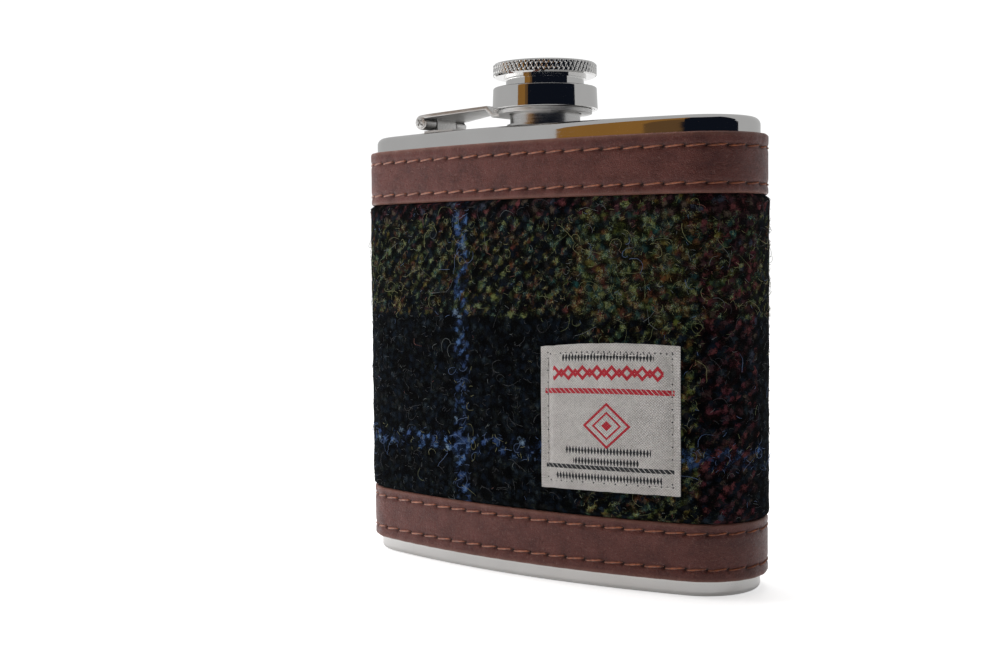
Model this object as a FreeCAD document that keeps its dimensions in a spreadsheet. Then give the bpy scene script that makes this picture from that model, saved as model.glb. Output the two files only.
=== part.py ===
import FreeCAD, Part
import math
import os
import Sketcher

# A curved pocket flask: steel body, hinged captive screw cap and a sewn sleeve.
# +Z is up, -Y is the bulging front, and the origin is on the base under the neck's axis.

doc = FreeCAD.newDocument("hip_flask")
sheet = doc.addObject("Spreadsheet::Sheet", "Sizes")
vector = FreeCAD.Vector

driving_sizes = [
    # steel body
    ("body_width", 93.5), ("body_depth", 23.0), ("shoulder_height", 93.3), ("bend_radius", 165.5),
    ("body_wall", 0.6), ("plate_wall", 0.8), ("shoulder_skirt", 2.6), ("base_skirt", 2.4),
    ("shoulder_round", 1.5), ("base_round", 1.0),
    # neck, heights counted from the shoulder
    ("neck_radius", 6.0), ("neck_bore", 5.3), ("neck_top", 6.2), ("neck_flange", 8.0),
    ("neck_flange_thick", 0.8), ("thread_pitch", 1.5), ("thread_depth", 0.35),
    ("thread_start", 1.9), ("thread_rise", 3.0), ("thread_overlap", 0.02),
    ("thread_flank_foot", 0.33), ("thread_crest_top", 0.54), ("thread_ridge_top", 0.87),
    # hinge
    ("hinge_reach", 28.7), ("hinge_rise", 2.6), ("hinge_shift", 0.6), ("hinge_length", 14.2),
    ("knuckle_length", 3.8), ("knuckle_gap", 0.05), ("knuckle_radius", 1.6),
    ("pin_radius", 0.85), ("pin_clearance", 0.03), ("pin_head", 0.15), ("pin_head_radius", 1.05),
    ("leaf_thick", 0.8), ("leaf_length", 8.0), ("leaf_width", 12.0), ("curl_thick", 0.7),
    # cap arm
    ("arm_thick", 0.85), ("arm_crest", 5.35), ("arm_crest_reach", 14.6), ("arm_foot_reach", 12.2),
    ("arm_end_reach", 8.4), ("arm_neck_width", 7.0), ("arm_notch", 1.75), ("ring_rise", 2.9),
    ("ring_radius", 9.9), ("ring_hole", 7.6),
    # cap
    ("bush_radius", 7.4), ("bush_crest", 6.62), ("bush_foot", 0.3), ("lip_radius", 8.1),
    ("lip_thick", 0.4), ("bush_roof", 7.1), ("bush_thread_start", 1.2), ("bush_thread_rise", 3.75),
    ("bush_flange", 10.4), ("flange_thick", 0.6), ("collar_rise", 3.8), ("collar_top", 8.4),
    ("collar_foot_radius", 11.1), ("collar_radius", 10.9), ("collar_wall", 0.6), ("collar_bevel", 0.2),
    ("waist_radius", 8.2), ("step_rise", 10.05), ("step_radius", 8.7), ("knob_rise", 10.6),
    ("knob_top", 13.35), ("knob_radius", 10.9), ("knob_bevel", 0.5), ("seal_radius", 6.3),
    ("seal_thick", 0.85), ("seal_gap", 0.02),
    # sleeve
    ("layer_gap", 0.02), ("backing_proud", 0.35), ("tuck_proud", 0.7), ("tweed_proud", 1.7),
    ("leather_proud", 1.5),
    ("cover_bottom", 3.25), ("bottom_band_top", 14.5), ("top_band_bottom", 78.1),
    ("cover_top", 89.85), ("tuck_depth", 4.0), ("band_seam_gap", 0.3), ("band_seam_reach", 1.0),
    # stitches
    ("stitch_pitch", 4.3), ("stitch_length", 3.3), ("stitch_width", 0.55), ("stitch_thick", 0.3),
    ("stitch_lift", 0.03), ("top_band_upper_row", 87.25), ("top_band_lower_row", 80.1),
    ("bottom_band_upper_row", 12.6), ("bottom_band_lower_row", 5.65), ("seam_stitch_offset", 1.6),
    ("seam_stitch_length", 1.6), ("seam_stitch_pitch", 2.2),
    # woven label
    ("label_left", 8.0), ("label_right", 38.0), ("label_bottom", 19.6), ("label_top", 48.0),
    ("label_thick", 0.3), ("label_lift", 0.03), ("label_seam_inset", 1.6), ("label_stitch_pitch", 2.4),
    ("label_stitch_length", 1.7), ("label_stitch_width", 0.25), ("label_stitch_thick", 0.12),
]
for row, (alias, value) in enumerate(driving_sizes, start=1):
    sheet.set("A%d" % row, alias)
    sheet.set("B%d" % row, "%g" % value)
    sheet.setAlias("B%d" % row, alias)
doc.recompute()


def size(alias):
    return float(getattr(sheet, alias))


def cell(formula):
    """Puts the sheet's name before every alias of a formula written in plain words."""
    return " ".join("Sizes." + word if word[0].isalpha() else word for word in formula.split())


parts = []


def register(part):
    parts.append(part)
    return part


def new_body(label):
    body = doc.addObject("PartDesign::Body", label)
    body.Label = label
    return register(body)


def origin_plane(body, role):
    return [plane for plane in body.Origin.OriginFeatures if plane.Role == role][0]


def new_sketch(body, name, role, lift=None):
    """A sketch on one of the body's own planes, lifted off it by a formula."""
    sketch = body.newObject("Sketcher::SketchObject", name)
    sketch.AttachmentSupport = (origin_plane(body, role), [""])
    sketch.MapMode = "FlatFace"
    if lift:
        sketch.setExpression(".AttachmentOffset.Base.z", cell(lift))
    return sketch


def constrain(sketch, kind, *args, formula=None):
    """Adds a constraint; a dimension starts at 1 mm and takes its size from the formula."""
    if formula is None:
        return sketch.addConstraint(Sketcher.Constraint(kind, *args))
    index = sketch.addConstraint(Sketcher.Constraint(kind, *args, 1.0))
    sketch.setExpression("Constraints[%d]" % index, cell(formula))
    return index


def bend_angle():
    """Half the angle that the body's bent mid-line takes up between its two round ends."""
    return math.asin((size("body_width") - size("body_depth")) / 2 / size("bend_radius"))


def draw_outline(sketch, proud):
    """The bent stadium that the body and the sleeve follow, pushed out by a formula of aliases.

    Front and back are arcs about one centre behind the body; the ends are half circles.
    """
    bend = size("bend_radius")
    half_depth = size("body_depth") / 2
    angle = bend_angle()
    centre = vector(0, bend, 0)
    axis = vector(0, 0, 1)
    end_x = bend * math.sin(angle)
    end_y = bend - bend * math.cos(angle)
    south = -math.pi / 2
    first = sketch.GeometryCount
    front, right, back, left = range(first, first + 4)
    sketch.addGeometry([
        Part.ArcOfCircle(Part.Circle(centre, axis, bend + half_depth), south - angle, south + angle),
        Part.ArcOfCircle(Part.Circle(vector(end_x, end_y, 0), axis, half_depth),
                         south + angle, south + angle + math.pi),
        Part.ArcOfCircle(Part.Circle(centre, axis, bend - half_depth), south - angle, south + angle),
        Part.ArcOfCircle(Part.Circle(vector(-end_x, end_y, 0), axis, half_depth),
                         south - angle + math.pi, south - angle + 2 * math.pi),
    ], False)
    start, end, middle = 1, 2, 3
    constrain(sketch, "Tangent", front, end, right, start)
    constrain(sketch, "Tangent", right, end, back, end)
    constrain(sketch, "Tangent", back, start, left, start)
    constrain(sketch, "Tangent", left, end, front, start)
    constrain(sketch, "Coincident", front, middle, back, middle)
    constrain(sketch, "PointOnObject", front, middle, -2)
    sizes = [
        ("DistanceY", (-1, 1, front, middle), bend, "bend_radius"),
        ("DistanceX", (-1, 1, right, middle), end_x, "( body_width - body_depth ) / 2"),
        ("DistanceX", (left, middle, -1, 1), end_x, "( body_width - body_depth ) / 2"),
        ("Radius", (front,), bend + half_depth, "bend_radius + body_depth / 2 + " + proud),
    ]
    for kind, where, value, formula in sizes:
        index = sketch.addConstraint(Sketcher.Constraint(kind, *where, value))
        sketch.setExpression("Constraints[%d]" % index, cell(formula))
    index = sketch.addConstraint(Sketcher.Constraint("Radius", right, half_depth))
    sketch.setExpression("Constraints[%d]" % index, cell("body_depth / 2 + " + proud))


def pin_point(sketch, geometry, point, across, up):
    """Holds a point of the sketch at two formulas; a leading minus counts the other way."""
    for kind, own_axis, formula in zip(("DistanceX", "DistanceY"), (-2, -1), (across, up)):
        if formula == "0":
            constrain(sketch, "PointOnObject", geometry, point, own_axis)
        elif formula.startswith("- "):
            constrain(sketch, kind, geometry, point, -1, 1, formula=formula[2:])
        else:
            constrain(sketch, kind, -1, 1, geometry, point, formula=formula)


def draw_profile(sketch, points):
    """A closed polygon whose corners are (across, up) formulas."""
    count = len(points)
    turn = 2 * math.pi / count
    corners = [vector(10 + 9 * math.cos(i * turn), 10 + 9 * math.sin(i * turn), 0) for i in range(count)]
    sketch.addGeometry([Part.LineSegment(corners[i], corners[(i + 1) % count]) for i in range(count)], False)
    for i in range(count):
        constrain(sketch, "Coincident", i, 2, (i + 1) % count, 1)
    for i, (across, up) in enumerate(points):
        pin_point(sketch, i, 1, across, up)


def draw_rectangle(sketch, left, right, low, high):
    draw_profile(sketch, [(left, low), (right, low), (right, high), (left, high)])


def pad(body, sketch, height):
    feature = body.newObject("PartDesign::Pad", sketch.Name + "_pad")
    feature.Profile = sketch
    feature.setExpression("Length", cell(height))
    sketch.Visibility = False
    return feature


def pocket(body, sketch, depth, upward=False):
    feature = body.newObject("PartDesign::Pocket", sketch.Name + "_pocket")
    feature.Profile = sketch
    feature.setExpression("Length", cell(depth))
    feature.Reversed = upward
    return feature


def revolve(body, name, points):
    sketch = new_sketch(body, name, "XZ_Plane")
    draw_profile(sketch, points)
    feature = body.newObject("PartDesign::Revolution", name + "_turned")
    feature.Profile = sketch
    feature.ReferenceAxis = (sketch, ["V_Axis"])
    feature.Angle = 360.0
    return feature


def edges_at(feature, height):
    """Names of a feature's level edges at a height."""
    names = []
    for number, edge in enumerate(feature.Shape.Edges, start=1):
        box = edge.BoundBox
        if abs(box.ZMin - height) < 1e-4 and abs(box.ZMax - height) < 1e-4:
            names.append("Edge%d" % number)
    return names


def round_edges(body, base, names, radius):
    feature = body.newObject("PartDesign::Fillet", base.Name + "_round")
    feature.Base = (base, names)
    feature.setExpression("Radius", cell(radius))
    return feature


def shape_part(label, shape):
    feature = doc.addObject("Part::Feature", label)
    feature.Label = label
    feature.Shape = shape
    feature.Placement = FreeCAD.Placement()
    return register(feature)


def bent_point(along, proud, height):
    """A point on the outline, from the front's middle along it, with its outward direction.

    proud is the distance out from the steel; the length is counted at that distance.
    """
    bend = size("bend_radius")
    half_depth = size("body_depth") / 2
    angle = bend_angle()
    front = (bend + half_depth + proud) * angle
    end = (half_depth + proud) * math.pi
    back = (bend - half_depth - proud) * angle
    total = 2 * (front + end + back)
    along = (along + total / 2) % total - total / 2
    side = 1 if along >= 0 else -1
    run = abs(along)
    if run <= front:
        heading = run / (bend + half_depth + proud)
        x = (bend + half_depth + proud) * math.sin(heading)
        y = bend - (bend + half_depth + proud) * math.cos(heading)
    elif run <= front + end:
        heading = angle + (run - front) / (half_depth + proud)
        x = bend * math.sin(angle) + (half_depth + proud) * math.sin(heading)
        y = bend - bend * math.cos(angle) - (half_depth + proud) * math.cos(heading)
    else:
        inner = angle - (run - front - end) / (bend - half_depth - proud)
        x = (bend - half_depth - proud) * math.sin(inner)
        y = bend - (bend - half_depth - proud) * math.cos(inner)
        heading = inner + math.pi
    return vector(side * x, y, height), vector(side * math.sin(heading), -math.cos(heading), 0)


def outline_length(proud):
    bend = size("bend_radius")
    half_depth = size("body_depth") / 2
    return 4 * bend * bend_angle() + 2 * math.pi * (half_depth + proud)


def thread_lying(along, proud, height, upright=False, length=None, width=None, thick=None):
    """One stitch: a small bar lying on the outline, level or upright."""
    length = length or size("stitch_length")
    width = width or size("stitch_width")
    thick = thick or size("stitch_thick")
    where, outward = bent_point(along, proud, height)
    sideways = outward.cross(vector(0, 0, 1))
    tall, wide = (length, width) if upright else (width, length)
    bar = Part.makeBox(wide, thick, tall, vector(-wide / 2, 0, -tall / 2))
    turn = FreeCAD.Rotation(sideways, outward, vector(0, 0, 1), "ZYX")
    bar.Placement = FreeCAD.Placement(where, turn)
    return bar


# steel body

def make_body_shell():
    """The bent tube, from the top of the base plate's rim to the foot of the shoulder's rim."""
    body = new_body("body_shell")
    outside = new_sketch(body, "shell_outside", "XY_Plane", "base_skirt")
    draw_outline(outside, "0")
    pad(body, outside, "shoulder_height - shoulder_skirt - base_skirt")
    inside = new_sketch(body, "shell_inside", "XY_Plane", "shoulder_height - shoulder_skirt")
    draw_outline(inside, "0 - body_wall")
    pocket(body, inside, "shoulder_height - shoulder_skirt - base_skirt")


def make_base_plate():
    """A pressed tray: flat floor, rim up to the tube, rounded lower edge."""
    body = new_body("base_plate")
    outside = new_sketch(body, "base_outside", "XY_Plane")
    draw_outline(outside, "0")
    tray = pad(body, outside, "base_skirt")
    doc.recompute()
    round_edges(body, tray, edges_at(tray, 0.0), "base_round")
    inside = new_sketch(body, "base_inside", "XY_Plane", "base_skirt")
    draw_outline(inside, "0 - plate_wall")
    pocket(body, inside, "base_skirt - plate_wall")


def make_shoulder_plate():
    """A pressed lid with a rounded rim and the hole that the neck comes up through."""
    body = new_body("shoulder_plate")
    outside = new_sketch(body, "shoulder_outside", "XY_Plane", "shoulder_height - shoulder_skirt")
    draw_outline(outside, "0")
    lid = pad(body, outside, "shoulder_skirt")
    doc.recompute()
    round_edges(body, lid, edges_at(lid, size("shoulder_height")), "shoulder_round")
    inside = new_sketch(body, "shoulder_inside", "XY_Plane", "shoulder_height - shoulder_skirt")
    draw_outline(inside, "0 - plate_wall")
    pocket(body, inside, "shoulder_skirt - plate_wall", upward=True)
    hole = new_sketch(body, "neck_hole", "XY_Plane", "shoulder_height")
    hole.addGeometry(Part.Circle(vector(0, 0, 0), vector(0, 0, 1), size("neck_radius")), False)
    constrain(hole, "Coincident", 0, 3, -1, 1)
    constrain(hole, "Radius", 0, formula="neck_radius")
    pocket(body, hole, "plate_wall")


def make_neck():
    """The spout: a flange welded under the shoulder, a bore and one coarse outside thread."""
    body = new_body("neck")
    revolve(body, "neck_profile", [
        ("neck_bore", "shoulder_height - plate_wall - neck_flange_thick"),
        ("neck_flange", "shoulder_height - plate_wall - neck_flange_thick"),
        ("neck_flange", "shoulder_height - plate_wall"),
        ("neck_radius", "shoulder_height - plate_wall"),
        ("neck_radius", "shoulder_height + neck_top"),
        ("neck_bore", "shoulder_height + neck_top"),
    ])
    add_thread(body, "neck_thread", "neck_radius - thread_overlap", "neck_radius + thread_depth",
               "thread_start", "thread_rise")


def add_thread(body, name, root, crest, start, rise):
    """A ridge of trapezium section wound round the axis; its root reaches a little into the wall."""
    sketch = new_sketch(body, name, "XZ_Plane")
    low = "shoulder_height + " + start
    draw_profile(sketch, [
        (root, low),
        (crest, low + " + thread_flank_foot"),
        (crest, low + " + thread_crest_top"),
        (root, low + " + thread_ridge_top"),
    ])
    feature = body.newObject("PartDesign::AdditiveHelix", name + "_ridge")
    feature.Profile = sketch
    feature.ReferenceAxis = (sketch, ["V_Axis"])
    feature.Mode = 0
    feature.setExpression("Pitch", cell("thread_pitch"))
    feature.setExpression("Height", cell(rise))
    feature.Angle = 0.0
    feature.LeftHanded = False
    feature.Reversed = False
    return feature


# hinge and cap arm

def make_hinge_bracket():
    """A leaf welded to the shoulder; its end rises and curls round the pin as the middle knuckle."""
    body = new_body("hinge_bracket")
    middle_length = "hinge_length - 2 * knuckle_length - 2 * knuckle_gap"
    leaf = new_sketch(body, "leaf_plan", "XY_Plane")
    draw_rectangle(leaf, "0", "leaf_length", "- leaf_width / 2", "leaf_width / 2")
    pad(body, leaf, "leaf_thick")
    curl = new_sketch(body, "curl_profile", "XZ_Plane")
    draw_rectangle(curl, "knuckle_radius - curl_thick", "knuckle_radius", "0", "hinge_rise")
    pad(body, curl, middle_length).Midplane = True
    knuckle = new_sketch(body, "middle_knuckle", "XZ_Plane")
    draw_ring(knuckle, "0", "hinge_rise", "knuckle_radius", "pin_radius + pin_clearance")
    pad(body, knuckle, middle_length).Midplane = True
    place(body, "0 - hinge_reach", "hinge_shift", "shoulder_height")


def draw_ring(sketch, across, up, outer, inner):
    """Two circles about one centre, placed by formulas."""
    for number, radius in enumerate((outer, inner)):
        start_radius = 2.0 - number
        sketch.addGeometry(Part.Circle(vector(3, 3, 0), vector(0, 0, 1), start_radius), False)
        constrain(sketch, "Radius", number, formula=radius)
    constrain(sketch, "Coincident", 0, 3, 1, 3)
    pin_point(sketch, 0, 3, across, up)


def place(body, across, deep, up):
    for axis, formula in zip("xyz", (across, deep, up)):
        body.setExpression(".Placement.Base." + axis, cell(formula))


def make_hinge_pin():
    """A plain pin with both ends peened over the outer knuckles."""
    body = new_body("hinge_pin")
    sketch = new_sketch(body, "pin_profile", "XY_Plane")
    draw_profile(sketch, [
        ("0", "0"),
        ("pin_head_radius", "0"),
        ("pin_head_radius", "pin_head"),
        ("pin_radius", "pin_head"),
        ("pin_radius", "pin_head + hinge_length"),
        ("pin_head_radius", "pin_head + hinge_length"),
        ("pin_head_radius", "2 * pin_head + hinge_length"),
        ("0", "2 * pin_head + hinge_length"),
    ])
    feature = body.newObject("PartDesign::Revolution", "pin_turned")
    feature.Profile = sketch
    feature.ReferenceAxis = (sketch, ["V_Axis"])
    feature.Angle = 360.0
    place(body, "0 - hinge_reach", "hinge_shift - hinge_length / 2 - pin_head",
          "shoulder_height + hinge_rise")


def make_cap_arm():
    """One pressed strip: two end knuckles, a cranked and tapered arm, and the ring round the bush."""
    body = new_body("cap_arm")
    profile = new_sketch(body, "arm_side", "XZ_Plane")
    ring_foot = "ring_rise - hinge_rise"
    draw_profile(profile, [
        ("0", "knuckle_radius - arm_thick"),
        ("hinge_reach - arm_crest_reach", "arm_crest - hinge_rise - arm_thick"),
        ("hinge_reach - arm_foot_reach - arm_thick / 2", ring_foot),
        ("hinge_reach - arm_end_reach", ring_foot),
        ("hinge_reach - arm_end_reach", ring_foot + " + arm_thick"),
        ("hinge_reach - arm_foot_reach", ring_foot + " + arm_thick"),
        ("hinge_reach - arm_crest_reach", "arm_crest - hinge_rise"),
        ("0", "knuckle_radius"),
    ])
    pad(body, profile, "hinge_length").Midplane = True
    for name, side in (("front_taper", "- "), ("rear_taper", "")):
        taper = new_sketch(body, name, "XY_Plane", "arm_crest")
        draw_taper(taper, side)
        pocket(body, taper, "arm_crest * 2")
    ring = new_sketch(body, "captive_ring", "XY_Plane", ring_foot)
    draw_ring(ring, "hinge_reach", "- hinge_shift", "ring_radius", "ring_hole")
    pad(body, ring, "arm_thick")
    knuckles = new_sketch(body, "end_knuckles", "XZ_Plane")
    draw_ring(knuckles, "0", "0", "knuckle_radius", "pin_radius + pin_clearance")
    pad(body, knuckles, "hinge_length").Midplane = True
    notch = new_sketch(body, "knuckle_notch", "XZ_Plane")
    draw_rectangle(notch, "- arm_notch", "arm_notch", "- arm_notch", "arm_notch")
    pocket(body, notch, "hinge_length - 2 * knuckle_length").Midplane = True
    bore = new_sketch(body, "pin_bore", "XZ_Plane")
    bore.addGeometry(Part.Circle(vector(0, 0, 0), vector(0, 0, 1), 1.0), False)
    constrain(bore, "Coincident", 0, 3, -1, 1)
    constrain(bore, "Radius", 0, formula="pin_radius + pin_clearance")
    pocket(body, bore, "hinge_length * 2").Midplane = True
    place(body, "0 - hinge_reach", "hinge_shift", "shoulder_height + hinge_rise")


def draw_taper(sketch, side):
    """The wedge cut off one side of the strip, which narrows from the knuckles to the ring."""
    start = "knuckle_radius + arm_thick"
    crank = "hinge_reach - arm_crest_reach"
    end = "hinge_reach - arm_end_reach + arm_thick"
    draw_profile(sketch, [
        (start, side + "hinge_length / 2"),
        (crank, side + "arm_neck_width / 2"),
        (end, side + "arm_neck_width / 2"),
        (end, side + "hinge_length"),
        (start, side + "hinge_length"),
    ])


# captive cap

def above(rise):
    return "shoulder_height + " + rise


def make_cap_bush():
    """The threaded tube: roofed, a flange inside the collar, a flared foot under the arm's ring."""
    body = new_body("cap_bush")
    root = "bush_crest + thread_depth"
    roof_top = above("collar_top - collar_wall")
    revolve(body, "bush_profile", [
        ("0", above("bush_roof")),
        (root, above("bush_roof")),
        (root, above("bush_foot")),
        ("lip_radius", above("bush_foot")),
        ("lip_radius", above("bush_foot + lip_thick")),
        ("bush_radius", above("bush_foot + lip_thick")),
        ("bush_radius", above("collar_rise")),
        ("bush_flange", above("collar_rise")),
        ("bush_flange", above("collar_rise + flange_thick")),
        ("bush_radius", above("collar_rise + flange_thick")),
        ("bush_radius", roof_top),
        ("0", roof_top),
    ])
    add_thread(body, "bush_thread", root + " + thread_overlap", "bush_crest",
               "bush_thread_start", "bush_thread_rise")


def make_cap_collar():
    """The outer cup of the cap, a little wider at its open foot."""
    body = new_body("cap_collar")
    revolve(body, "collar_profile", [
        ("0", above("collar_top - collar_wall")),
        ("collar_radius - collar_wall + layer_gap", above("collar_top - collar_wall")),
        ("bush_flange + layer_gap", above("collar_rise")),
        ("collar_foot_radius", above("collar_rise")),
        ("collar_radius", above("collar_top - collar_bevel")),
        ("collar_radius - collar_bevel", above("collar_top")),
        ("0", above("collar_top")),
    ])


def make_cap_knob():
    """The finger grip with its waist, stepped and bevelled under the rim."""
    body = new_body("cap_knob")
    revolve(body, "knob_profile", [
        ("0", above("collar_top")),
        ("waist_radius", above("collar_top")),
        ("waist_radius", above("step_rise")),
        ("step_radius", above("step_rise")),
        ("step_radius", above("knob_rise")),
        ("knob_radius - knob_bevel", above("knob_rise")),
        ("knob_radius", above("knob_rise + knob_bevel")),
        ("knob_radius", above("knob_top - knob_bevel")),
        ("knob_radius - knob_bevel", above("knob_top")),
        ("0", above("knob_top")),
    ])


def make_seal_washer():
    body = new_body("seal_washer")
    revolve(body, "seal_profile", [
        ("0", above("bush_roof - seal_gap - seal_thick")),
        ("seal_radius", above("bush_roof - seal_gap - seal_thick")),
        ("seal_radius", above("bush_roof - seal_gap")),
        ("0", above("bush_roof - seal_gap")),
    ])


# sewn sleeve

def sleeve_pad(body, name, proud, bottom, top):
    sketch = new_sketch(body, name, "XY_Plane", bottom)
    draw_outline(sketch, proud)
    return pad(body, sketch, top + " - ( " + bottom + " )")


def sleeve_pocket(body, name, proud, bottom, top):
    sketch = new_sketch(body, name, "XY_Plane", top)
    draw_outline(sketch, proud)
    return pocket(body, sketch, top + " - ( " + bottom + " )")


def cut_back_seam(body, name, bottom, top):
    """The narrow gap at the middle of the back, where the two ends of a strip meet."""
    sketch = new_sketch(body, name, "XY_Plane", top)
    half = "band_seam_gap / 2"
    draw_rectangle(sketch, "- " + half, half, "body_depth / 2 - band_seam_reach", "body_depth")
    pocket(body, sketch, top + " - ( " + bottom + " )")


def make_backing_sleeve():
    body = new_body("backing_sleeve")
    sleeve_pad(body, "backing_outside", "backing_proud", "cover_bottom", "cover_top")
    sleeve_pocket(body, "backing_inside", "layer_gap", "cover_bottom", "cover_top")


def make_tweed_sleeve():
    """Thick between the bands, pressed thin where its edges are tucked under them."""
    body = new_body("tweed_sleeve")
    low = "bottom_band_top - tuck_depth"
    high = "top_band_bottom + tuck_depth"
    sleeve_pad(body, "tucked_edges", "tuck_proud", low, high)
    sleeve_pad(body, "tweed_face", "tweed_proud", "bottom_band_top + layer_gap",
               "top_band_bottom - layer_gap")
    sleeve_pocket(body, "tweed_inside", "backing_proud + layer_gap", low, high)
    cut_back_seam(body, "tweed_back_seam", low, high)


def make_leather_band(label, bottom, top, step_bottom, step_top):
    """A band round the sleeve, thinned inside where it covers the tucked edge of the tweed."""
    body = new_body(label)
    sleeve_pad(body, label + "_outside", "leather_proud", bottom, top)
    sleeve_pocket(body, label + "_inside", "backing_proud + layer_gap", bottom, top)
    sleeve_pocket(body, label + "_step", "tuck_proud + layer_gap", step_bottom, step_top)
    cut_back_seam(body, label + "_seam", bottom, top)


def make_stitch_row(label, height_alias):
    proud = size("leather_proud") + size("stitch_lift")
    around = outline_length(proud)
    count = 2 * round(around / size("stitch_pitch") / 2)
    height = size(height_alias)
    bars = [thread_lying((i + 0.5) * around / count, proud, height) for i in range(count)]
    shape_part(label, Part.makeCompound(bars))


def make_back_seam_stitches():
    """Short upright stitches down both sides of the seam, between the rows of each band."""
    proud = size("leather_proud") + size("stitch_lift")
    back = outline_length(proud) / 2
    length = size("seam_stitch_length")
    bars = []
    for upper, lower in (("top_band_upper_row", "top_band_lower_row"),
                         ("bottom_band_upper_row", "bottom_band_lower_row")):
        middle = (size(upper) + size(lower)) / 2
        for step in (-1, 0, 1):
            height = middle + step * size("seam_stitch_pitch")
            for side in (-1, 1):
                along = back + side * size("seam_stitch_offset")
                bars.append(thread_lying(along, proud, height, upright=True, length=length))
    shape_part("back_seam_stitches", Part.makeCompound(bars))


def make_woven_label():
    """A thin bent rectangle: a ring between two upright cylinders, kept only inside a box."""
    face = "body_depth / 2 + bend_radius + tweed_proud + label_lift"
    rounds = []
    for name, radius in (("label_face", face + " + label_thick"), ("label_back", face)):
        cylinder = doc.addObject("Part::Cylinder", name)
        cylinder.setExpression("Radius", cell(radius))
        cylinder.setExpression("Height", cell("label_top - label_bottom"))
        place(cylinder, "0", "bend_radius", "label_bottom")
        rounds.append(cylinder)
    shell = doc.addObject("Part::Cut", "label_ring")
    shell.Base, shell.Tool = rounds
    box = doc.addObject("Part::Box", "label_extent")
    box.setExpression("Length", cell("label_right - label_left"))
    box.setExpression("Width", cell("body_depth"))
    box.setExpression("Height", cell("label_top - label_bottom"))
    place(box, "label_left", "0 - body_depth", "label_bottom")
    label = doc.addObject("Part::Common", "woven_label")
    label.Label = "woven_label"
    label.Base, label.Tool = shell, box
    register(label)


def make_label_stitches():
    """Running stitches a little inside the label's four edges."""
    proud = size("tweed_proud") + 2 * size("label_lift") + size("label_thick")
    inset = size("label_seam_inset")
    left, right = size("label_left") + inset, size("label_right") - inset
    low, high = size("label_bottom") + inset, size("label_top") - inset
    pitch, length = size("label_stitch_pitch"), size("label_stitch_length")
    thin = {"width": size("label_stitch_width"), "thick": size("label_stitch_thick"), "length": length}
    across = int((right - left - length) / pitch) + 1
    upward = int((high - low - length) / pitch) + 1
    bars = []
    for i in range(across):
        along = (left + right) / 2 + (i - (across - 1) / 2) * pitch
        bars += [thread_lying(along, proud, height, **thin) for height in (low, high)]
    for i in range(upward):
        height = (low + high) / 2 + (i - (upward - 1) / 2) * pitch
        bars += [thread_lying(along, proud, height, upright=True, **thin) for along in (left, right)]
    shape_part("label_stitches", Part.makeCompound(bars))


make_body_shell()
make_base_plate()
make_shoulder_plate()
make_neck()
make_hinge_bracket()
make_hinge_pin()
make_cap_arm()
make_cap_bush()
make_cap_collar()
make_cap_knob()
make_seal_washer()
make_backing_sleeve()
make_tweed_sleeve()
make_leather_band("top_leather_band", "top_band_bottom", "cover_top",
                  "top_band_bottom", "top_band_bottom + tuck_depth + layer_gap")
make_leather_band("bottom_leather_band", "cover_bottom", "bottom_band_top",
                  "bottom_band_top - tuck_depth - layer_gap", "bottom_band_top")
for row_name in ("top_band_upper", "top_band_lower", "bottom_band_upper", "bottom_band_lower"):
    make_stitch_row(row_name + "_stitches", row_name + "_row")
make_back_seam_stitches()
make_woven_label()
make_label_stitches()
doc.recompute()

failed = [item.Name for item in doc.Objects if "Invalid" in item.State or "Error" in item.State]
if failed:
    raise RuntimeError("these did not compute: " + ", ".join(failed))
for part in parts:
    if part.Shape.isNull() or not part.Shape.isValid():
        raise RuntimeError("%s has no valid shape" % part.Label)

os.makedirs("parts", exist_ok=True)
for part in parts:
    part.Shape.exportStep("parts/%s.step" % part.Label)
    print("%-28s %9.1f mm3" % (part.Label, part.Shape.Volume))
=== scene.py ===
import math
import random
import bmesh
import bpy
from mathutils import Matrix, Vector, noise


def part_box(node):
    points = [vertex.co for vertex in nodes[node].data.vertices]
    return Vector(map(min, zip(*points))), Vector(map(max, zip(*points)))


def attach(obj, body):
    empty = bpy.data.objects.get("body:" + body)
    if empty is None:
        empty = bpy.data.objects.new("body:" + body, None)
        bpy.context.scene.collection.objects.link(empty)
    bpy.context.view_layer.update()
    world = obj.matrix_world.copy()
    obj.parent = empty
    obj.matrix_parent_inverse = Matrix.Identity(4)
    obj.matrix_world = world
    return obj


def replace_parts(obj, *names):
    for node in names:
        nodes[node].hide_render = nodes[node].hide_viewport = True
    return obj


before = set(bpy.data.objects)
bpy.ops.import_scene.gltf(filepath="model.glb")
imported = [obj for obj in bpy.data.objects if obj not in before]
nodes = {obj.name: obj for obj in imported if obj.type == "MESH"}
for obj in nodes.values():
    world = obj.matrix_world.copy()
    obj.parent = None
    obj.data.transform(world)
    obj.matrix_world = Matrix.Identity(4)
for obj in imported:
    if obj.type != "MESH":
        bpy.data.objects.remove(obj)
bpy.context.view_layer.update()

mm = 0.001
hair = 1e-6
print("frame loaded:", len(nodes), "nodes")

# the body's bent outline, read from the steel shell
shellLow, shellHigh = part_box("body_shell")
halfDepth = -shellLow.y
endX = shellHigh.x - halfDepth          # centres of the two round ends
endY = shellHigh.y - halfDepth
bend = (endX ** 2 + endY ** 2) / (2 * endY)   # radius of the mid-line, centred behind the body
bendAngle = math.asin(endX / bend)
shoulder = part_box("shoulder_plate")[1].z


def girth(proud):
    return 4 * bend * bendAngle + 2 * math.pi * (halfDepth + proud)


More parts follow.
